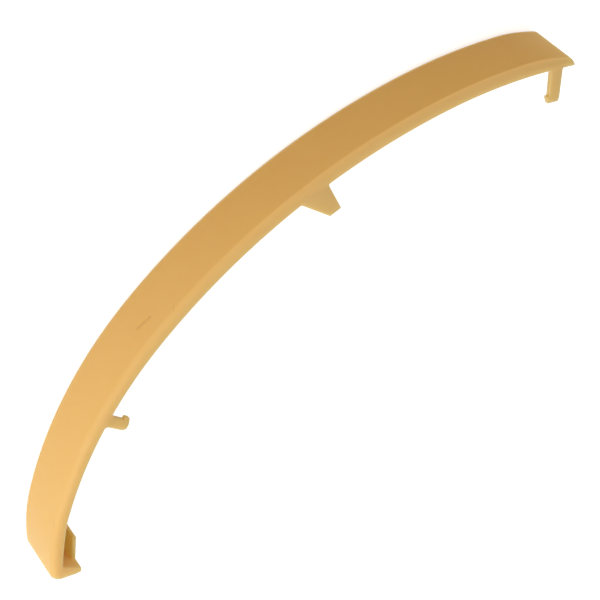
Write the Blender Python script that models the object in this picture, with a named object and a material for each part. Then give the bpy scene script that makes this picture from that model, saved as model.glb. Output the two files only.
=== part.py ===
"""Running lining of a timing chain guide: one curved nylon moulding that clips onto a rail arm.

The lining lies on one flat side. X runs along its chord, with the lip end at +X and the leg end at
-X, -Y is the convex running side and Z is the width. Along the strip, a distance is measured on the
running face from the lip end, and a depth is measured inward, square to that face. A tab's height is
its depth below the inner face.
"""

from dataclasses import dataclass
from math import atan2, ceil, cos, pi, sin, sqrt, tan

import bmesh
import bpy
from mathutils import Vector

# Strip section, in metres
STRIP_WIDTH = 0.022
STRIP_THICKNESS = 0.0032
FACE_EDGE_RADIUS = 0.0025
SIDE_FLAT_MIN = 0.0003
INNER_EDGE_BREAK = 0.0002

# Running face: three tangent arcs from the lip end to the leg end
LIP_ARC_RADIUS = 0.130
LIP_ARC_LENGTH = 0.086
MIDDLE_ARC_RADIUS = 0.195
MIDDLE_ARC_LENGTH = 0.108
LEG_ARC_RADIUS = 0.150
LEG_ARC_LENGTH = 0.044

# Lead-ins: the face turns down more tightly at both ends, so the chain meets no edge
LIP_LEAD_LENGTH = 0.019
LIP_LEAD_RADIUS = 0.058
TIP_LEAD_LENGTH = 0.014
TIP_LEAD_RADIUS = 0.041

# Clip-on side tabs, one of each on both sides, flush with the sides
TAB_THICKNESS = 0.0015

# Snap leg near the leg end, with a short barb that points back along the strip
LEG_END_OVERHANG = 0.0041
LEG_WIDTH = 0.0042
LEG_REACH = 0.0109
LEG_TIP_BEVEL = 0.0005
LEG_TIP_BEVEL_RISE = 0.0012
LEG_BARB_REACH = 0.0007
LEG_BARB_LEDGE = 0.0086
LEG_BARB_LAND = 0.0008
LEG_BARB_TIP_REACH = 0.0002
LEG_ROOT_RADIUS = 0.0005

# Locating lug: square on the leg side, slanted on the lip side
LUG_STATION = 0.1522
LUG_BASE_LENGTH = 0.0098
LUG_TIP_LENGTH = 0.0043
LUG_REACH = 0.0100
LUG_TIP_RADIUS = 0.0005
LUG_ROOT_RADIUS = 0.0006

# Small hook, with a blunt barb that points towards the leg end
HOOK_STATION = 0.05575
HOOK_WIDTH = 0.0036
HOOK_REACH = 0.0069
HOOK_BARB_REACH = 0.0010
HOOK_BARB_LEDGE = 0.0044
HOOK_BARB_LAND = 0.0017
HOOK_HEAD_SLOPE = 0.0022
HOOK_TIP_BEVEL = 0.0007
HOOK_TIP_BEVEL_RISE = 0.0011
HOOK_TIP_RADIUS = 0.0003
HOOK_ROOT_RADIUS = 0.0009

# End lip across the whole width. The strip thickens a little towards its root.
LIP_DEPTH = 0.0106
LIP_TIP_THICKNESS = 0.0019
LIP_ROOT_REACH = 0.0043
LIP_RAKE = 0.0009
LIP_ROOT_RADIUS = 0.0006
LIP_TIP_RADIUS = 0.0005
LIP_WEDGE_LENGTH = 0.021
LIP_WEDGE_HEIGHT = 0.0013
LIP_STOP_DEPTH = 0.0078

# Return tongue that runs back from the lip's tip and closes the pocket behind the lip
TONGUE_SIDE_INSET = 0.0042
TONGUE_REACH = 0.0120
TONGUE_THICKNESS = 0.0012
TONGUE_SETBACK = 0.0001
TONGUE_CLOSING = 0.0009
TONGUE_END_RADIUS = 0.0003
TONGUE_ROOT_RADIUS = 0.0005
TONGUE_EDGE_BREAK = 0.0002
TONGUE_ROOT_SINK = 0.00005

# Mesh fineness
STATION_STEP = 0.003
LEAD_STEP = 0.0015
STATION_CLEAR = 0.0004
EDGE_STEPS = 6
CORNER_STEPS = 4
SEAM = 1e-7

# Natural nylon, as linear colour
NYLON_COLOUR = (0.73, 0.42, 0.15, 1.0)
NYLON_ROUGHNESS = 0.42


@dataclass(frozen=True)
class Arc:
    """One stretch of the running face, with its start distance, length and radius."""

    start: float
    length: float
    radius: float


@dataclass(frozen=True)
class Run:
    """A stretch of the inner contour, as (distance, depth) points.

    Below a tab, base holds the inner face's own points between the tab's feet.
    """

    points: tuple
    is_tab: bool = False
    base: tuple = ()


def face_arcs():
    """Return the three arcs of the running face in order from the lip end."""
    sizes = (
        (LIP_ARC_LENGTH, LIP_ARC_RADIUS),
        (MIDDLE_ARC_LENGTH, MIDDLE_ARC_RADIUS),
        (LEG_ARC_LENGTH, LEG_ARC_RADIUS),
    )
    arcs = []
    start = 0.0
    for length, radius in sizes:
        arcs.append(Arc(start, length, radius))
        start += length
    return arcs


ARCS = face_arcs()
FACE_LENGTH = LIP_ARC_LENGTH + MIDDLE_ARC_LENGTH + LEG_ARC_LENGTH
TIP_LEAD_START = FACE_LENGTH - TIP_LEAD_LENGTH


def walk_face(distance, first_heading):
    """Return the point and heading of the undropped running face at a distance from the lip end."""
    point = Vector((0.0, 0.0))
    heading = first_heading
    for arc in ARCS:
        last = arc is ARCS[-1]
        step = distance - arc.start
        if not last:
            step = min(step, arc.length)
        turned = heading - step / arc.radius
        point = point + arc.radius * Vector((sin(heading) - sin(turned), cos(turned) - cos(heading)))
        heading = turned
        if last or distance <= arc.start + arc.length:
            return point, heading
    return point, heading


def level_heading():
    """Return the first heading that lays the chord of the running face along -X."""
    end, _ = walk_face(FACE_LENGTH, 0.0)
    return pi - atan2(end.y, end.x)


FIRST_HEADING = level_heading()


def strip_point(distance, depth):
    """Return the XY point at a distance along the running face and a depth below it."""
    point, heading = walk_face(distance, FIRST_HEADING)
    return point + depth * Vector((sin(heading), -cos(heading)))


def lead_drop(offset, face_radius, lead_radius):
    """Return how far a lead-in arc lies below the face arc it is tangent to, at an offset from there."""
    if offset <= 0.0:
        return 0.0
    gap = face_radius - lead_radius
    turn = offset / face_radius
    reach = gap * cos(turn) + sqrt(lead_radius**2 - (gap * sin(turn)) ** 2)
    return face_radius - reach


def face_drop(distance):
    """Return how far the running face lies below its three arcs because of the lead-ins."""
    lip = lead_drop(LIP_LEAD_LENGTH - distance, LIP_ARC_RADIUS, LIP_LEAD_RADIUS)
    tip = lead_drop(distance - TIP_LEAD_START, LEG_ARC_RADIUS, TIP_LEAD_RADIUS)
    return max(lip, tip)


def inner_depth(distance):
    """Return the inner face's depth, which grows over the wedge at the lip's root."""
    share = (LIP_WEDGE_LENGTH - distance) / (LIP_WEDGE_LENGTH - LIP_ROOT_REACH)
    return STRIP_THICKNESS + LIP_WEDGE_HEIGHT * min(1.0, max(0.0, share))


def edge_fall(distance):
    """Return the depth that the running face's rounded long edges take, less where the strip is thin."""
    return min(FACE_EDGE_RADIUS, inner_depth(distance) - face_drop(distance) - SIDE_FLAT_MIN)


def even_steps(start, end, step):
    """Return evenly spaced values from start up to, but without, end."""
    count = max(1, ceil((end - start) / step - 1e-6))
    return [start + (end - start) * i / count for i in range(count)]


def face_stations():
    """Return the distances of the sections, finer in the lead-ins and with one at each arc's end."""
    marks = sorted({0.0, LIP_LEAD_LENGTH, *(arc.start for arc in ARCS), TIP_LEAD_START})
    marks.append(FACE_LENGTH)
    stations = []
    for start, end in zip(marks, marks[1:]):
        in_lead = end <= LIP_LEAD_LENGTH + SEAM or start >= TIP_LEAD_START - SEAM
        stations += even_steps(start, end, LEAD_STEP if in_lead else STATION_STEP)
    return stations + [FACE_LENGTH]


def corner_arc(before, corner, after, radius):
    """Return the points of an arc that rounds a corner between its two neighbours."""
    if radius <= 0.0:
        return [corner]
    back = before - corner
    ahead = after - corner
    half = back.angle(ahead) / 2.0
    reach = min(radius / tan(half), 0.49 * back.length, 0.49 * ahead.length)
    radius = reach * tan(half)
    middle = corner + (back.normalized() + ahead.normalized()).normalized() * (radius / sin(half))
    first = corner + back.normalized() * reach - middle
    last = corner + ahead.normalized() * reach - middle
    sweep = atan2(first.cross(last), first.dot(last))
    points = []
    for k in range(CORNER_STEPS + 1):
        turn = sweep * k / CORNER_STEPS
        points.append(
            middle
            + Vector((first.x * cos(turn) - first.y * sin(turn), first.x * sin(turn) + first.y * cos(turn)))
        )
    return points


def round_corners(before, corners, after):
    """Return a path of (distance, depth) points through corners given as (distance, depth, radius).

    The points before and after it only give the first and last corner their directions.
    """
    places = [Vector(before)] + [Vector(corner[:2]) for corner in corners] + [Vector(after)]
    path = []
    for k, corner in enumerate(corners):
        path += corner_arc(places[k], places[k + 1], places[k + 2], corner[2])
    return path


def lip_path():
    """Return the lip's path, from the foot of the raked end face to the root on the inner face.

    A level on its inner wall parts the flat that the rail arm's end meets from the tongue's root.
    """
    corners = [
        (LIP_RAKE, LIP_DEPTH, LIP_TIP_RADIUS),
        (LIP_RAKE + LIP_TIP_THICKNESS, LIP_DEPTH, LIP_TIP_RADIUS),
        (lip_wall(LIP_STOP_DEPTH), LIP_STOP_DEPTH, 0.0),
        (LIP_ROOT_REACH, STRIP_THICKNESS + LIP_WEDGE_HEIGHT, LIP_ROOT_RADIUS),
    ]
    return round_corners((0.0, STRIP_THICKNESS), corners, (LIP_WEDGE_LENGTH, STRIP_THICKNESS))


def tab_path(station, corners, root_radius):
    """Return a tab's path from foot to foot, given its corners as (distance, height, radius)."""
    places = [(station + along, STRIP_THICKNESS + height, radius) for along, height, radius in corners]
    before = (places[0][0] - 4.0 * root_radius, STRIP_THICKNESS)
    after = (places[-1][0] + 4.0 * root_radius, STRIP_THICKNESS)
    return round_corners(before, places, after)


def hook_path():
    """Return the small hook's path: a short stem with a blunt barbed head."""
    head = HOOK_WIDTH + HOOK_BARB_REACH
    corners = [
        (0.0, 0.0, HOOK_ROOT_RADIUS),
        (0.0, HOOK_REACH - HOOK_TIP_BEVEL_RISE, HOOK_TIP_RADIUS),
        (HOOK_TIP_BEVEL, HOOK_REACH, HOOK_TIP_RADIUS),
        (head - HOOK_HEAD_SLOPE, HOOK_REACH, 0.0),
        (head, HOOK_BARB_LEDGE + HOOK_BARB_LAND, HOOK_TIP_RADIUS),
        (head, HOOK_BARB_LEDGE, HOOK_TIP_RADIUS),
        (HOOK_WIDTH, HOOK_BARB_LEDGE, 0.0),
        (HOOK_WIDTH, 0.0, HOOK_ROOT_RADIUS),
    ]
    return tab_path(HOOK_STATION, corners, HOOK_ROOT_RADIUS)


def lug_path():
    """Return the locating lug's path, with its slanted flank towards the lip end."""
    corners = [
        (-LUG_BASE_LENGTH, 0.0, LUG_ROOT_RADIUS),
        (-LUG_TIP_LENGTH, LUG_REACH, LUG_TIP_RADIUS),
        (0.0, LUG_REACH, LUG_TIP_RADIUS),
        (0.0, 0.0, LUG_ROOT_RADIUS),
    ]
    return tab_path(LUG_STATION, corners, LUG_ROOT_RADIUS)


def leg_path():
    """Return the snap leg's path: a straight blade whose tip carries a short barb."""
    corners = [
        (0.0, 0.0, LEG_ROOT_RADIUS),
        (0.0, LEG_BARB_LEDGE, 0.0),
        (-LEG_BARB_REACH, LEG_BARB_LEDGE, 0.0),
        (-LEG_BARB_REACH, LEG_BARB_LEDGE + LEG_BARB_LAND, 0.0),
        (-LEG_BARB_TIP_REACH, LEG_REACH, 0.0),
        (LEG_WIDTH - LEG_TIP_BEVEL, LEG_REACH, 0.0),
        (LEG_WIDTH, LEG_REACH - LEG_TIP_BEVEL_RISE, 0.0),
        (LEG_WIDTH, 0.0, LEG_ROOT_RADIUS),
    ]
    return tab_path(FACE_LENGTH - LEG_END_OVERHANG - LEG_WIDTH, corners, LEG_ROOT_RADIUS)


def inner_points(start, end):
    """Return the inner face's (distance, depth) points at the stations well between two distances."""
    clear = [s for s in face_stations() if start + STATION_CLEAR < s < end - STATION_CLEAR]
    return [Vector((s, inner_depth(s))) for s in clear]


def inner_runs():
    """Return the inner contour from the end face to the tip, as plain runs with the tabs between."""
    runs = []
    plain = lip_path()
    for tab in (hook_path(), lug_path(), leg_path()):
        plain += inner_points(plain[-1].x, tab[0].x) + [tab[0]]
        runs.append(Run(tuple(plain)))
        runs.append(Run(tuple(tab), True, tuple(inner_points(tab[0].x, tab[-1].x))))
        plain = [tab[-1]]
    plain += inner_points(plain[-1].x, FACE_LENGTH) + [Vector((FACE_LENGTH, STRIP_THICKNESS))]
    runs.append(Run(tuple(plain)))
    return runs


def face_section(distance):
    """Return the (depth, z) points across the running face, round edge to round edge."""
    top = face_drop(distance)
    fall = edge_fall(distance)
    low = []
    for k in range(EDGE_STEPS + 1):
        angle = pi / 2.0 * k / EDGE_STEPS
        low.append((top + fall * (1.0 - sin(angle)), FACE_EDGE_RADIUS * (1.0 - cos(angle))))
    high = [(depth, STRIP_WIDTH - z) for depth, z in reversed(low)]
    return low + high


def new_object(name, edit):
    """Write a bmesh into a new linked object and return it."""
    bmesh.ops.recalc_face_normals(edit, faces=edit.faces)
    mesh = bpy.data.meshes.new(name)
    edit.to_mesh(mesh)
    edit.free()
    item = bpy.data.objects.new(name, mesh)
    bpy.context.scene.collection.objects.link(item)
    return item


def break_edges(edit, edges, size):
    """Break edges of a bmesh with one flat of the given size."""
    bmesh.ops.recalc_face_normals(edit, faces=edit.faces)
    bmesh.ops.bevel(
        edit, geom=edges, offset=size, segments=1, profile=0.5, affect="EDGES", clamp_overlap=True
    )


def add_face_rows(edit):
    """Add the running face with its round edges, and return its rows of vertices, one a section."""
    rows = []
    for distance in face_stations():
        section = face_section(distance)
        rows.append([edit.verts.new((*strip_point(distance, depth), z)) for depth, z in section])
    for row, following in zip(rows, rows[1:]):
        for k in range(len(row) - 1):
            edit.faces.new((row[k], row[k + 1], following[k + 1], following[k]))
    return rows


def column(edit, columns, point):
    """Return the vertices at one contour point on the two sides and the two tab cheeks.

    A point that was asked for before gives the same vertices again.
    """
    key = (round(point.x / SEAM), round(point.y / SEAM))
    if key not in columns:
        columns[key] = {}
    made = columns[key]

    def vertex(z):
        if z not in made:
            made[z] = edit.verts.new((*strip_point(point.x, point.y), z))
        return made[z]

    return vertex, made


def wall(edit, columns, first, second, low_z, high_z):
    """Add the wall between two contour points from one height to another.

    It also takes in the vertices that a tab has put between those heights.
    """
    sides = []
    for point in (first, second):
        vertex, made = column(edit, columns, point)
        vertex(low_z)
        vertex(high_z)
        sides.append([made[z] for z in sorted(made) if low_z <= z <= high_z])
    edit.faces.new(sides[0] + list(reversed(sides[1])))


def add_inner_side(edit):
    """Add the inner face, the lip's walls and the tabs.

    Returns the contour's vertices on the low side and on the high side.
    """
    low_cheek = TAB_THICKNESS
    high_cheek = STRIP_WIDTH - TAB_THICKNESS
    columns = {}
    runs = inner_runs()
    for run in runs:
        if not run.is_tab:
            continue
        base = [run.points[0], *run.base, run.points[-1]]
        for first, second in zip(run.points, run.points[1:]):
            wall(edit, columns, first, second, 0.0, low_cheek)
            wall(edit, columns, first, second, high_cheek, STRIP_WIDTH)
        for first, second in zip(base, base[1:]):
            wall(edit, columns, first, second, low_cheek, high_cheek)
        rim = [*run.points, *reversed(run.base)]
        for z in (low_cheek, high_cheek):
            edit.faces.new([column(edit, columns, point)[0](z) for point in rim])
    for run in runs:
        if run.is_tab:
            continue
        for first, second in zip(run.points, run.points[1:]):
            wall(edit, columns, first, second, 0.0, STRIP_WIDTH)
    contour = [point for run in runs for point in run.points[:-1]] + [runs[-1].points[-1]]
    low = [column(edit, columns, point)[0](0.0) for point in contour]
    high = [column(edit, columns, point)[0](STRIP_WIDTH) for point in contour]
    return low, high


def make_body():
    """Model the strip with its lip and side tabs as one closed mesh."""
    edit = bmesh.new()
    rows = add_face_rows(edit)
    low, high = add_inner_side(edit)
    edit.faces.new([row[0] for row in rows] + list(reversed(low)))
    edit.faces.new([row[-1] for row in rows] + list(reversed(high)))
    edit.faces.new(rows[0])
    edit.faces.new((rows[0][0], rows[0][-1], high[0], low[0]))
    edit.faces.new(rows[-1] + [high[-1], low[-1]])
    rims = [edit.edges.get(pair) for side in (low, high) for pair in zip(side, side[1:])]
    break_edges(edit, rims, INNER_EDGE_BREAK)
    return new_object("guide_rail", edit)


def lip_wall(depth):
    """Return the distance of the lip's slanted inner wall at a depth."""
    tip = LIP_RAKE + LIP_TIP_THICKNESS
    share = (LIP_DEPTH - depth) / (LIP_DEPTH - STRIP_THICKNESS - LIP_WEDGE_HEIGHT)
    return tip + (LIP_ROOT_REACH - tip) * share


def tongue_path():
    """Return the tongue's outline, closed, as (distance, depth) points. It starts inside the lip."""
    middle = LIP_RAKE + LIP_TIP_THICKNESS / 2.0
    outer = LIP_DEPTH - TONGUE_SETBACK
    inner = outer - TONGUE_THICKNESS
    foot = inner - 3.0 * TONGUE_ROOT_RADIUS
    corners = [
        (middle, foot, 0.0),
        (middle, outer, 0.0),
        (TONGUE_REACH, outer - TONGUE_CLOSING, TONGUE_END_RADIUS),
        (TONGUE_REACH, inner - TONGUE_CLOSING, TONGUE_END_RADIUS),
        (lip_wall(inner) - TONGUE_ROOT_SINK, inner, TONGUE_ROOT_RADIUS),
        (lip_wall(foot) - TONGUE_ROOT_SINK, foot, 0.0),
    ]
    return round_corners(corners[-1][:2], corners, corners[0][:2])


def make_tongue():
    """Model the return tongue as a closed plate that is centred on the width."""
    edit = bmesh.new()
    outline = [strip_point(point.x, point.y) for point in tongue_path()]
    low = [edit.verts.new((*point, TONGUE_SIDE_INSET)) for point in outline]
    high = [edit.verts.new((*point, STRIP_WIDTH - TONGUE_SIDE_INSET)) for point in outline]
    edit.faces.new(low)
    edit.faces.new(list(reversed(high)))
    for k in range(len(outline)):
        edit.faces.new((low[k - 1], low[k], high[k], high[k - 1]))
    rims = [edge for edge in edit.edges if abs(edge.verts[0].co.z - edge.verts[1].co.z) < SEAM]
    break_edges(edit, rims, TONGUE_EDGE_BREAK)
    return new_object("tongue", edit)


def join_solid(body, tool):
    """Unite a tool object with the body and remove the tool."""
    union = body.modifiers.new(tool.name, "BOOLEAN")
    union.operation = "UNION"
    union.solver = "EXACT"
    union.object = tool
    graph = bpy.context.evaluated_depsgraph_get()
    mesh = bpy.data.meshes.new_from_object(body.evaluated_get(graph))
    body.modifiers.remove(union)
    body.data = mesh
    bpy.data.objects.remove(tool)


def centre_on_footprint(body):
    """Put the origin under the middle of the bounding box, on the side face that the part lies on."""
    points = [v.co for v in body.data.vertices]
    middle_x = (min(p.x for p in points) + max(p.x for p in points)) / 2.0
    middle_y = (min(p.y for p in points) + max(p.y for p in points)) / 2.0
    for vert in body.data.vertices:
        vert.co.x -= middle_x
        vert.co.y -= middle_y


def nylon_material():
    """Return the natural nylon material."""
    material = bpy.data.materials.new("natural_nylon")
    material.use_nodes = True
    shader = material.node_tree.nodes["Principled BSDF"]
    shader.inputs["Base Color"].default_value = NYLON_COLOUR
    shader.inputs["Roughness"].default_value = NYLON_ROUGHNESS
    shader.inputs["Metallic"].default_value = 0.0
    return material


def clear_scene():
    """Remove every object of the open scene."""
    for item in list(bpy.data.objects):
        bpy.data.objects.remove(item)


def main():
    """Build the lining."""
    clear_scene()
    body = make_body()
    join_solid(body, make_tongue())
    centre_on_footprint(body)
    body.data.materials.clear()
    body.data.materials.append(nylon_material())
    body.data.shade_smooth()
    body.data.set_sharp_from_angle(angle=pi / 6.0)


main()
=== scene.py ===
"""Studio scene of a timing chain guide's running lining, moulded in natural nylon.

All lengths are in metres.
"""

import logging
from dataclasses import dataclass
from enum import Enum
from math import radians

import bmesh
import bpy
from mathutils import Matrix, Vector

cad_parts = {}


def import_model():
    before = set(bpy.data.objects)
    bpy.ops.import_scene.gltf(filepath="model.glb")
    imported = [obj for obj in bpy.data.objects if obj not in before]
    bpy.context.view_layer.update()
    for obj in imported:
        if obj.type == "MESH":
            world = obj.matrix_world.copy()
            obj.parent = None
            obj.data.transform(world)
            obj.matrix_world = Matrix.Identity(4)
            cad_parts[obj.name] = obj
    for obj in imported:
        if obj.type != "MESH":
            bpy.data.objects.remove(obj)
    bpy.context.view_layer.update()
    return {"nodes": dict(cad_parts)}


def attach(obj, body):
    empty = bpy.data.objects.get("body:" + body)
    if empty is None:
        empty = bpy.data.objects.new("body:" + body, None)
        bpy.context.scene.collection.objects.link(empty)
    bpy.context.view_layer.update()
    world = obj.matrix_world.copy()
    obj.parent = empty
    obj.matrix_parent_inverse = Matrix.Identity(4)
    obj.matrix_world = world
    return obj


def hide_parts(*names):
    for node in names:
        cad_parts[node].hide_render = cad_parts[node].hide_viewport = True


LOG = logging.getLogger("timing_chain_guide")
Tree = bpy.types.NodeTree
Socket = bpy.types.NodeSocket
Colour = tuple[float, float, float]
Place = tuple[float, float, float]
Feed = float | tuple[float, ...] | Socket
WHITE: Colour = (1.0, 1.0, 1.0)


class SocketKind(Enum):
    """The kinds of socket that the node groups have."""

    VECTOR = "NodeSocketVector"
    NUMBER = "NodeSocketFloat"


class RampShape(Enum):
    """How a ramp runs between its two levels."""

    STRAIGHT = "LINEAR"
    SMOOTH = "SMOOTHSTEP"


class Ray(Enum):
    """The light paths that are shown a white background."""

    CAMERA = "Is Camera Ray"
    GLOSSY = "Is Glossy Ray"
    TRANSMISSION = "Is Transmission Ray"


def deselect_all() -> None:
    """Leave edit mode and deselect every object."""
    if bpy.context.object and bpy.context.object.mode != "OBJECT":
        bpy.ops.object.mode_set(mode="OBJECT")
    bpy.ops.object.select_all(action="DESELECT")


def select_only(item: bpy.types.Object) -> None:
    """Select one object alone and make it the active one.

    Args:
        item: The object that the next operator acts on.
    """
    deselect_all()
    item.select_set(True)
    bpy.context.view_layer.objects.active = item


def link(tree: Tree, source: Socket, target: Socket) -> None:
    """Join an output socket to an input socket."""
    tree.links.new(source, target)


def feed(tree: Tree, value: Feed, target: Socket) -> None:
    """Give an input socket a value of its own, or join it to an output socket.

    Args:
        tree: The node tree that holds the sockets.
        value: A number or a colour with alpha, or the output socket.
        target: The input socket.
    """
    if isinstance(value, Socket):
        link(tree, value, target)
    else:
        target.default_value = value


def opaque(colour: Colour) -> tuple[float, ...]:
    """Give a colour an alpha of 1."""
    return (*colour, 1.0)


def arithmetic(
    tree: Tree, operation: str, first: Feed, second: Feed = 0.0, clamp: bool = False
) -> Socket:
    """Add a Math node.

    Args:
        tree: The node tree that takes the node.
        operation: Blender's name of the operation.
        first: First operand.
        second: Second operand.
        clamp: Whether the result is held between 0 and 1.

    Returns:
        The node's output socket.
    """
    node = tree.nodes.new("ShaderNodeMath")
    node.operation = operation
    node.use_clamp = clamp
    feed(tree, first, node.inputs[0])
    feed(tree, second, node.inputs[1])
    return node.outputs["Value"]


def vector_math(
    tree: Tree, operation: str, first: Socket, second: Socket | None = None
) -> bpy.types.Node:
    """Add a Vector Math node.

    Args:
        tree: The node tree that takes the node.
        operation: Blender's name of the operation.
        first: First vector.
        second: Second vector, where the operation has one.

    Returns:
        The node.
    """
    node = tree.nodes.new("ShaderNodeVectorMath")
    node.operation = operation
    link(tree, first, node.inputs[0])
    if second is not None:
        link(tree, second, node.inputs[1])
    return node


def ramp(
    tree: Tree,
    value: Socket,
    low: float,
    high: float,
    start: float = 0.0,
    end: float = 1.0,
    shape: RampShape = RampShape.SMOOTH,
) -> Socket:
    """Add a ramp from one level to another.

    Args:
        tree: The node tree that takes the node.
        value: The socket that is followed.
        low: Value at which the ramp begins.
        high: Value at which the ramp is complete.
        start: Level below the ramp.
        end: Level above the ramp.
        shape: How it runs between the two levels.

    Returns:
        The node's output socket.
    """
    node = tree.nodes.new("ShaderNodeMapRange")
    node.interpolation_type = shape.value
    node.inputs["From Min"].default_value = low
    node.inputs["From Max"].default_value = high
    node.inputs["To Min"].default_value = start
    node.inputs["To Max"].default_value = end
    link(tree, value, node.inputs["Value"])
    return node.outputs["Result"]


def mix_colours(tree: Tree, factor: Socket, first: Feed, second: Feed) -> Socket:
    """Mix two colours.

    Args:
        tree: The node tree that takes the node.
        factor: 0 for the first colour and 1 for the second.
        first: First colour, or its socket.
        second: Second colour, or its socket.

    Returns:
        The colour socket of the mix.
    """
    node = tree.nodes.new("ShaderNodeMix")
    node.data_type = "RGBA"
    link(tree, factor, node.inputs["Factor"])
    feed(tree, first, node.inputs["A"])
    feed(tree, second, node.inputs["B"])
    return node.outputs["Result"]


def ray_mask(tree: Tree, rays: tuple[Ray, ...]) -> Socket:
    """Tell whether a light path is of one of the given kinds.

    Args:
        tree: The node tree that takes the nodes.
        rays: The kinds.

    Returns:
        A socket that is 1 for those kinds and 0 otherwise.
    """
    path = tree.nodes.new("ShaderNodeLightPath")
    mask = path.outputs[rays[0].value]
    for ray in rays[1:]:
        mask = arithmetic(tree, "MAXIMUM", mask, path.outputs[ray.value])
    return mask


def new_group(name: str, inputs: dict[str, SocketKind], outputs: dict[str, SocketKind]) -> Tree:
    """Add an empty shader node group with named sockets.

    Args:
        name: The group's name.
        inputs: Each input's name and kind.
        outputs: Each output's name and kind.

    Returns:
        The group.
    """
    group = bpy.data.node_groups.new(name, "ShaderNodeTree")
    for label, kind in inputs.items():
        group.interface.new_socket(label, in_out="INPUT", socket_type=kind.value)
    for label, kind in outputs.items():
        group.interface.new_socket(label, in_out="OUTPUT", socket_type=kind.value)
    return group


@dataclass(frozen=True)
class MottleGroup:
    """Shader node group: soft cloudy tone and fine satin grain of an unfilled nylon moulding."""

    name: str = "nylon_mottle"
    cloud_detail: float = 3.0
    grain_detail: float = 2.0

    def build(self) -> Tree:
        """Build the group once.

        Returns:
            The node group, with inputs for its scales and outputs Tone and Grain from 0 to 1.
        """
        if self.name in bpy.data.node_groups:
            return bpy.data.node_groups[self.name]
        group = new_group(
            self.name,
            {
                "Vector": SocketKind.VECTOR,
                "Cloud Scale": SocketKind.NUMBER,
                "Grain Scale": SocketKind.NUMBER,
            },
            {"Tone": SocketKind.NUMBER, "Grain": SocketKind.NUMBER},
        )
        entry = group.nodes.new("NodeGroupInput")
        result = group.nodes.new("NodeGroupOutput")
        for scale, detail, output in (
            ("Cloud Scale", self.cloud_detail, "Tone"),
            ("Grain Scale", self.grain_detail, "Grain"),
        ):
            noise = group.nodes.new("ShaderNodeTexNoise")
            noise.inputs["Detail"].default_value = detail
            link(group, entry.outputs["Vector"], noise.inputs["Vector"])
            link(group, entry.outputs[scale], noise.inputs["Scale"])
            link(group, noise.outputs["Fac"], result.inputs[output])
        return group


@dataclass(frozen=True)
class ScuffGroup:
    """Shader node group: a ragged rub mark along a straight line on the surface."""

    name: str = "nylon_scuff"
    core_share: float = 0.2
    ragged_scale: float = 1400.0
    ragged_low: float = 0.3
    ragged_high: float = 0.6
    ragged_floor: float = 0.55

    def build(self) -> Tree:
        """Build the group once.

        Returns:
            The node group, with inputs for a mark's ends and half width, and output Mark.
        """
        if self.name in bpy.data.node_groups:
            return bpy.data.node_groups[self.name]
        group = new_group(
            self.name,
            {
                "Vector": SocketKind.VECTOR,
                "Start": SocketKind.VECTOR,
                "End": SocketKind.VECTOR,
                "Half Width": SocketKind.NUMBER,
            },
            {"Mark": SocketKind.NUMBER},
        )
        entry = group.nodes.new("NodeGroupInput")
        result = group.nodes.new("NodeGroupOutput")
        gap = self.distance(group, entry)
        near = arithmetic(group, "DIVIDE", gap, entry.outputs["Half Width"])
        core = ramp(group, near, self.core_share, 1.0, 1.0, 0.0)
        fray = group.nodes.new("ShaderNodeTexNoise")
        fray.inputs["Scale"].default_value = self.ragged_scale
        link(group, entry.outputs["Vector"], fray.inputs["Vector"])
        broken = ramp(
            group, fray.outputs["Fac"], self.ragged_low, self.ragged_high, self.ragged_floor
        )
        link(group, arithmetic(group, "MULTIPLY", core, broken), result.inputs["Mark"])
        return group

    def distance(self, group: Tree, entry: bpy.types.Node) -> Socket:
        """Measure how far a point is from the mark's line, which ends at its two ends.

        Args:
            group: The group that takes the nodes.
            entry: The group's input node.

        Returns:
            The distance socket.
        """
        start = entry.outputs["Start"]
        along = vector_math(group, "SUBTRACT", entry.outputs["End"], start).outputs["Vector"]
        offset = vector_math(group, "SUBTRACT", entry.outputs["Vector"], start).outputs["Vector"]
        reach = vector_math(group, "DOT_PRODUCT", offset, along).outputs["Value"]
        square = vector_math(group, "DOT_PRODUCT", along, along).outputs["Value"]
        share = arithmetic(group, "DIVIDE", reach, square, clamp=True)
        foot = vector_math(group, "SCALE", along)
        link(group, share, foot.inputs["Scale"])
        return vector_math(group, "DISTANCE", offset, foot.outputs["Vector"]).outputs["Value"]


@dataclass(frozen=True)
class MarkSpec:
    """Ends, half width and strength of one mark on the running face."""

    start: Place
    end: Place
    half_width: float
    strength: float


class WearMark(Enum):
    """The marks that handling has left on the running face."""

    RUB = MarkSpec((0.03560, -0.02189, 0.0132), (0.03060, -0.02257, 0.0142), 0.0008, 0.3)
    TICK = MarkSpec((0.02322, -0.02333, 0.0187), (0.02487, -0.02319, 0.0207), 0.0004, 0.2)
    SCRATCH = MarkSpec((0.09334, 0.00222, 0.0195), (0.09600, 0.00428, 0.0209), 0.0003, 0.22)


@dataclass(frozen=True)
class PaintedLightPair:
    """Painted light and shade along the strip: a colour at the leg end and one at the lip end,
    which a surface runs between.
    """

    leg: Colour
    lip: Colour

    def blend(self, tree: Tree, along: Socket) -> Socket:
        """Run from the leg end's colour to the lip end's, as along goes from 0 to 1."""
        return mix_colours(tree, along, opaque(self.leg), opaque(self.lip))


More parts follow.
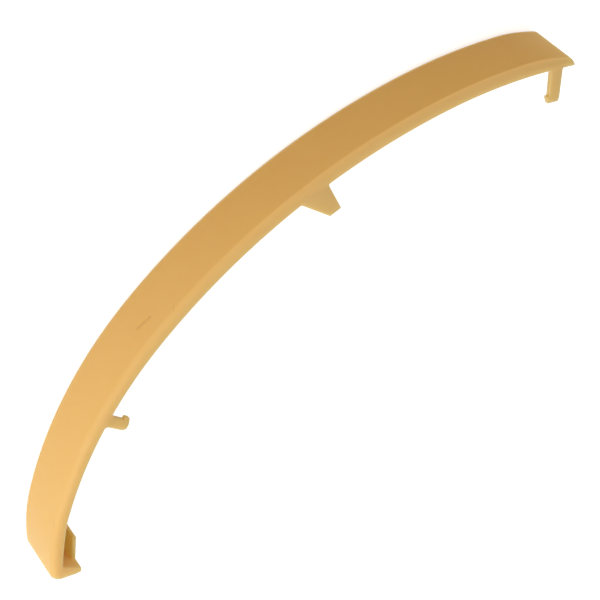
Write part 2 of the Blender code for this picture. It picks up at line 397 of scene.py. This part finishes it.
@dataclass(frozen=True)
class NaturalNylon:
    """Finish of the moulding: satin, slightly translucent, amber natural nylon.

    The tones are painted light and shade. They follow the strip's length from the leg end to the
    lip end: the running face goes from a deeper, less white painted shade at the leg end to a
    lighter, whiter colour at the lip end, where the key light falls.
    Across its width they go from the running face over the paler rim, a painted highlight with a
    crisp edge that stands for a chamfer, to the side face. The side face is kept whiter than the
    running face as a painted sheen. The blend follows the distance from the middle of the width.
    """

    name: str = "natural_nylon"
    # Painted light and shade: the face is lighter and whiter at the lip end where the key falls,
    # the rim is a painted highlight palest at the leg end, the side is whiter as a painted sheen
    face: PaintedLightPair = PaintedLightPair(leg=(0.71, 0.412, 0.09), lip=(0.822, 0.508, 0.17))
    rim: PaintedLightPair = PaintedLightPair(leg=(0.86, 0.535, 0.18), lip=(0.775, 0.475, 0.16))
    side: PaintedLightPair = PaintedLightPair(leg=(0.735, 0.465, 0.175), lip=(0.80, 0.48, 0.165))
    scuffed: Colour = (0.46, 0.22, 0.05)
    half_length: float = 0.108
    mid_width: float = 0.011
    # The crisp step at rim_start paints a chamfer's highlight that the mesh doesn't have; the
    # painted side sheen is complete at side_start
    rim_start: float = 0.0087
    rim_blur: float = 0.0002
    side_start: float = 0.0108
    cloud_scale: float = 60.0
    cloud_middle: float = 0.5
    mottle_strength: float = 0.10
    grain_scale: float = 2600.0
    grain_strength: float = 0.08
    grain_height: float = 0.00002
    roughness: float = 0.5
    roughness_spread: float = 0.05
    refraction: float = 1.5
    shine: float = 0.25
    light_share: float = 0.8
    light_depth: float = 0.006
    light_spread: Colour = (1.0, 0.95, 0.75)

    def tone(self, tree: Tree, spot: Socket, cloud: Socket) -> Socket:
        """Paint light and shade into the colour of the running face, its two rims and the side
        faces, each along the whole strip.

        Args:
            tree: The material's node tree.
            spot: The point's place in the part's own frame.
            cloud: Cloudy mottle from 0 to 1.

        Returns:
            The colour socket of the blend.
        """
        split = tree.nodes.new("ShaderNodeSeparateXYZ")
        link(tree, spot, split.inputs["Vector"])
        # Painted light along the length: lighter towards the lip end where the key falls,
        # painted shade towards the leg end
        run = ramp(
            tree,
            split.outputs["X"],
            -self.half_length,
            self.half_length,
            shape=RampShape.STRAIGHT,
        )
        offset = arithmetic(tree, "SUBTRACT", cloud, self.cloud_middle)
        spread = arithmetic(tree, "MULTIPLY", offset, 2.0 * self.mottle_strength)
        along = arithmetic(tree, "ADD", run, spread, clamp=True)
        # Painted highlight and sheen across the width: a crisp step to the rim tone, then a
        # blend to the side tone
        across = arithmetic(tree, "SUBTRACT", split.outputs["Z"], self.mid_width)
        outwards = arithmetic(tree, "ABSOLUTE", across)
        rim_low = self.rim_start - self.rim_blur
        rim_high = self.rim_start + self.rim_blur
        on_painted_rim = ramp(tree, outwards, rim_low, rim_high)
        on_side = ramp(tree, outwards, self.rim_start, self.side_start)
        rim = self.rim.blend(tree, along)
        edge = mix_colours(tree, on_side, rim, self.side.blend(tree, along))
        return mix_colours(tree, on_painted_rim, self.face.blend(tree, along), edge)

    def marks(self, tree: Tree, spot: Socket) -> Socket:
        """Gather the wear marks into one mask.

        Args:
            tree: The material's node tree.
            spot: The point's place in the part's own frame.

        Returns:
            A socket from 0 on clean nylon to 1 in the darkest mark.
        """
        total: Feed = 0.0
        for mark in WearMark:
            node = tree.nodes.new("ShaderNodeGroup")
            node.node_tree = ScuffGroup().build()
            node.inputs["Start"].default_value = mark.value.start
            node.inputs["End"].default_value = mark.value.end
            node.inputs["Half Width"].default_value = mark.value.half_width
            link(tree, spot, node.inputs["Vector"])
            weighed = arithmetic(tree, "MULTIPLY", node.outputs["Mark"], mark.value.strength)
            total = arithmetic(tree, "ADD", weighed, total, clamp=True)
        return total

    def set_body(self, shader: bpy.types.Node) -> None:
        """Set the values that are the same all over the nylon.

        Args:
            shader: The material's Principled BSDF.
        """
        shader.inputs["Metallic"].default_value = 0.0
        shader.inputs["IOR"].default_value = self.refraction
        shader.inputs["Specular IOR Level"].default_value = self.shine
        shader.inputs["Subsurface Weight"].default_value = self.light_share
        shader.inputs["Subsurface Radius"].default_value = self.light_spread
        shader.inputs["Subsurface Scale"].default_value = self.light_depth

    def build(self) -> bpy.types.Material:
        """Build the material.

        Returns:
            The finished material.
        """
        material = bpy.data.materials.new(self.name)
        material.use_nodes = True
        tree = material.node_tree
        shader = tree.nodes["Principled BSDF"]
        self.set_body(shader)
        spot = tree.nodes.new("ShaderNodeTexCoord").outputs["Object"]
        mottle = tree.nodes.new("ShaderNodeGroup")
        mottle.node_tree = MottleGroup().build()
        mottle.inputs["Cloud Scale"].default_value = self.cloud_scale
        mottle.inputs["Grain Scale"].default_value = self.grain_scale
        link(tree, spot, mottle.inputs["Vector"])
        grain = mottle.outputs["Grain"]
        # Base colour: painted light and shade from tone, with the real wear marks laid over it
        clean = self.tone(tree, spot, mottle.outputs["Tone"])
        wear_and_painted_light = mix_colours(tree, self.marks(tree, spot), clean, opaque(self.scuffed))
        link(tree, wear_and_painted_light, shader.inputs["Base Color"])
        smoothest = self.roughness - self.roughness_spread
        roughest = self.roughness + self.roughness_spread
        satin = ramp(tree, grain, 0.0, 1.0, smoothest, roughest, RampShape.STRAIGHT)
        link(tree, satin, shader.inputs["Roughness"])
        bump = tree.nodes.new("ShaderNodeBump")
        bump.inputs["Strength"].default_value = self.grain_strength
        bump.inputs["Distance"].default_value = self.grain_height
        link(tree, grain, bump.inputs["Height"])
        link(tree, bump.outputs["Normal"], shader.inputs["Normal"])
        return material


@dataclass
class RunningLining:
    """The whole moulding: curved strip, end lip with its tongue, and the clip-on side tabs."""

    node: bpy.types.Object
    finish: NaturalNylon = NaturalNylon()
    edge_width: float = 0.00018
    edge_steps: int = 2
    edge_angle: float = radians(32.0)
    merge_distance: float = 0.000001
    flat_angle: float = radians(0.2)
    shortest_edge: float = 0.0009

    def copy_node(self) -> bpy.types.Object:
        """Copy the solid's mesh, merged and with its flat faces whole.

        Returns:
            The copy, as an object of its own.
        """
        piece = bpy.data.objects.new("moulded_lining", self.node.data.copy())
        bpy.context.scene.collection.objects.link(piece)
        select_only(piece)
        bpy.ops.object.mode_set(mode="EDIT")
        bpy.ops.mesh.select_all(action="SELECT")
        bpy.ops.mesh.remove_doubles(threshold=self.merge_distance)
        bpy.ops.mesh.dissolve_limited(angle_limit=self.flat_angle)
        bpy.ops.mesh.normals_make_consistent(inside=False)
        bpy.ops.object.mode_set(mode="OBJECT")
        return piece

    def weigh_edges(self, piece: bpy.types.Object) -> int:
        """Mark the sharp edges that take the mould's small radius.

        Args:
            piece: The merged copy.

        Returns:
            How many edges are marked.
        """
        mesh = bmesh.new()
        mesh.from_mesh(piece.data)
        weight = mesh.edges.layers.float.new("bevel_weight_edge")
        marked = 0
        for edge in mesh.edges:
            sharp = len(edge.link_faces) == 2 and edge.calc_face_angle() > self.edge_angle
            if sharp and edge.calc_length() > self.shortest_edge:
                edge[weight] = 1.0
                marked += 1
        mesh.to_mesh(piece.data)
        mesh.free()
        return marked

    def round_edges(self, piece: bpy.types.Object) -> None:
        """Round the marked edges as a moulding's are, and shade the piece smooth.

        Args:
            piece: The merged copy, with its edges marked.
        """
        select_only(piece)
        bevel = piece.modifiers.new("mould_radius", "BEVEL")
        bevel.width = self.edge_width
        bevel.segments = self.edge_steps
        bevel.limit_method = "WEIGHT"
        bevel.use_clamp_overlap = True
        bpy.ops.object.modifier_apply(modifier=bevel.name)
        bpy.ops.object.shade_smooth_by_angle(angle=self.edge_angle)

    def dress(self) -> bpy.types.Object:
        """Build the piece that stands for the solid, and give it its finish.

        Returns:
            The dressed piece.
        """
        piece = self.copy_node()
        LOG.info("marked %d sharp edges", self.weigh_edges(piece))
        self.round_edges(piece)
        piece.data.materials.clear()
        piece.data.materials.append(self.finish.build())
        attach(piece, "root")
        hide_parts("guide_rail")
        return piece


@dataclass
class Studio:
    """Plain pale floor, even surrounding light and a soft key from the lip end."""

    floor_size: float = 6.0
    floor_level: float = -0.0002
    floor_paint: Colour = (0.85, 0.85, 0.85)
    floor_glow: float = 0.6
    surround: float = 0.62
    surround_seen: float = 1.0
    key_power: float = 4.8
    key_size: float = 0.7
    key_from: Place = (0.82, -0.42, 0.42)

    def floor_material(self) -> bpy.types.Material:
        """Build the floor: white to the camera, and still darkened where the part shades it.

        Returns:
            The floor's material.
        """
        material = bpy.data.materials.new("pale_floor")
        material.use_nodes = True
        tree = material.node_tree
        tree.nodes.clear()
        out = tree.nodes.new("ShaderNodeOutputMaterial")
        paint = tree.nodes.new("ShaderNodeBsdfDiffuse")
        paint.inputs["Color"].default_value = opaque(self.floor_paint)
        glow = tree.nodes.new("ShaderNodeEmission")
        strength = arithmetic(tree, "MULTIPLY", ray_mask(tree, tuple(Ray)), self.floor_glow)
        link(tree, strength, glow.inputs["Strength"])
        both = tree.nodes.new("ShaderNodeAddShader")
        link(tree, paint.outputs["BSDF"], both.inputs[0])
        link(tree, glow.outputs["Emission"], both.inputs[1])
        link(tree, both.outputs["Shader"], out.inputs["Surface"])
        return material

    def add_floor(self) -> bpy.types.Object:
        """Add the floor that the lining lies on.

        Returns:
            The floor object.
        """
        deselect_all()
        bpy.ops.mesh.primitive_plane_add(
            size=self.floor_size, location=(0.0, 0.0, self.floor_level)
        )
        floor = bpy.context.object
        floor.name = "floor"
        bpy.ops.object.transform_apply(location=True, rotation=True, scale=True)
        floor.data.materials.append(self.floor_material())
        return floor

    def light_world(self) -> None:
        """Fill the surroundings with even light, and show them white to the camera."""
        world = bpy.data.worlds.new("studio_surround")
        bpy.context.scene.world = world
        world.use_nodes = True
        tree = world.node_tree
        shade = tree.nodes["Background"]
        shade.inputs["Color"].default_value = opaque(WHITE)
        level = ramp(
            tree,
            ray_mask(tree, (Ray.CAMERA, Ray.GLOSSY)),
            0.0,
            1.0,
            self.surround,
            self.surround_seen,
            RampShape.STRAIGHT,
        )
        link(tree, level, shade.inputs["Strength"])

    def add_key(self) -> None:
        """Add the square soft lamp that lights the lip end the most."""
        lamp = bpy.data.lights.new("key_softbox", "AREA")
        lamp.shape = "SQUARE"
        lamp.size = self.key_size
        lamp.energy = self.key_power
        item = bpy.data.objects.new("key_softbox", lamp)
        item.location = Vector(self.key_from)
        item.rotation_euler = (-item.location).to_track_quat("-Z", "Y").to_euler()
        bpy.context.scene.collection.objects.link(item)

    def build(self) -> None:
        """Build the floor, the surroundings and the lamp."""
        self.add_floor()
        self.light_world()
        self.add_key()


@dataclass
class PhotoCamera:
    """Camera at the photograph's place, direction and roll."""

    place: Place = (-0.02459, -0.41813, 0.45591)
    forward: Place = (0.03664, 0.69933, -0.71386)
    down: Place = (0.70588, 0.48754, 0.51385)
    lens: float = 126.16
    sensor: float = 36.0
    near_clip: float = 0.01
    far_clip: float = 50.0

    def build(self) -> bpy.types.Object:
        """Add the camera and make it the scene's own.

        Returns:
            The camera object.
        """
        data = bpy.data.cameras.new("photo_camera")
        data.lens = self.lens
        data.sensor_width = self.sensor
        data.clip_start = self.near_clip
        data.clip_end = self.far_clip
        camera = bpy.data.objects.new("photo_camera", data)
        ahead = Vector(self.forward).normalized()
        right = Vector(self.down).cross(ahead).normalized()
        up = right.cross(ahead).normalized()
        turn = Matrix((right, up, -ahead)).transposed()
        camera.matrix_world = Matrix.Translation(Vector(self.place)) @ turn.to_4x4()
        bpy.context.scene.collection.objects.link(camera)
        bpy.context.scene.camera = camera
        return camera


def main() -> None:
    """Build the dressed lining, the studio and the camera."""
    logging.basicConfig(level=logging.INFO, format="%(name)s: %(message)s")
    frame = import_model()
    bpy.context.scene.view_settings.view_transform = "Standard"
    lining = RunningLining(frame["nodes"]["guide_rail"]).dress()
    LOG.info("dressed %s", lining.name)
    Studio().build()
    PhotoCamera().build()


if __name__ == "__main__":
    main()
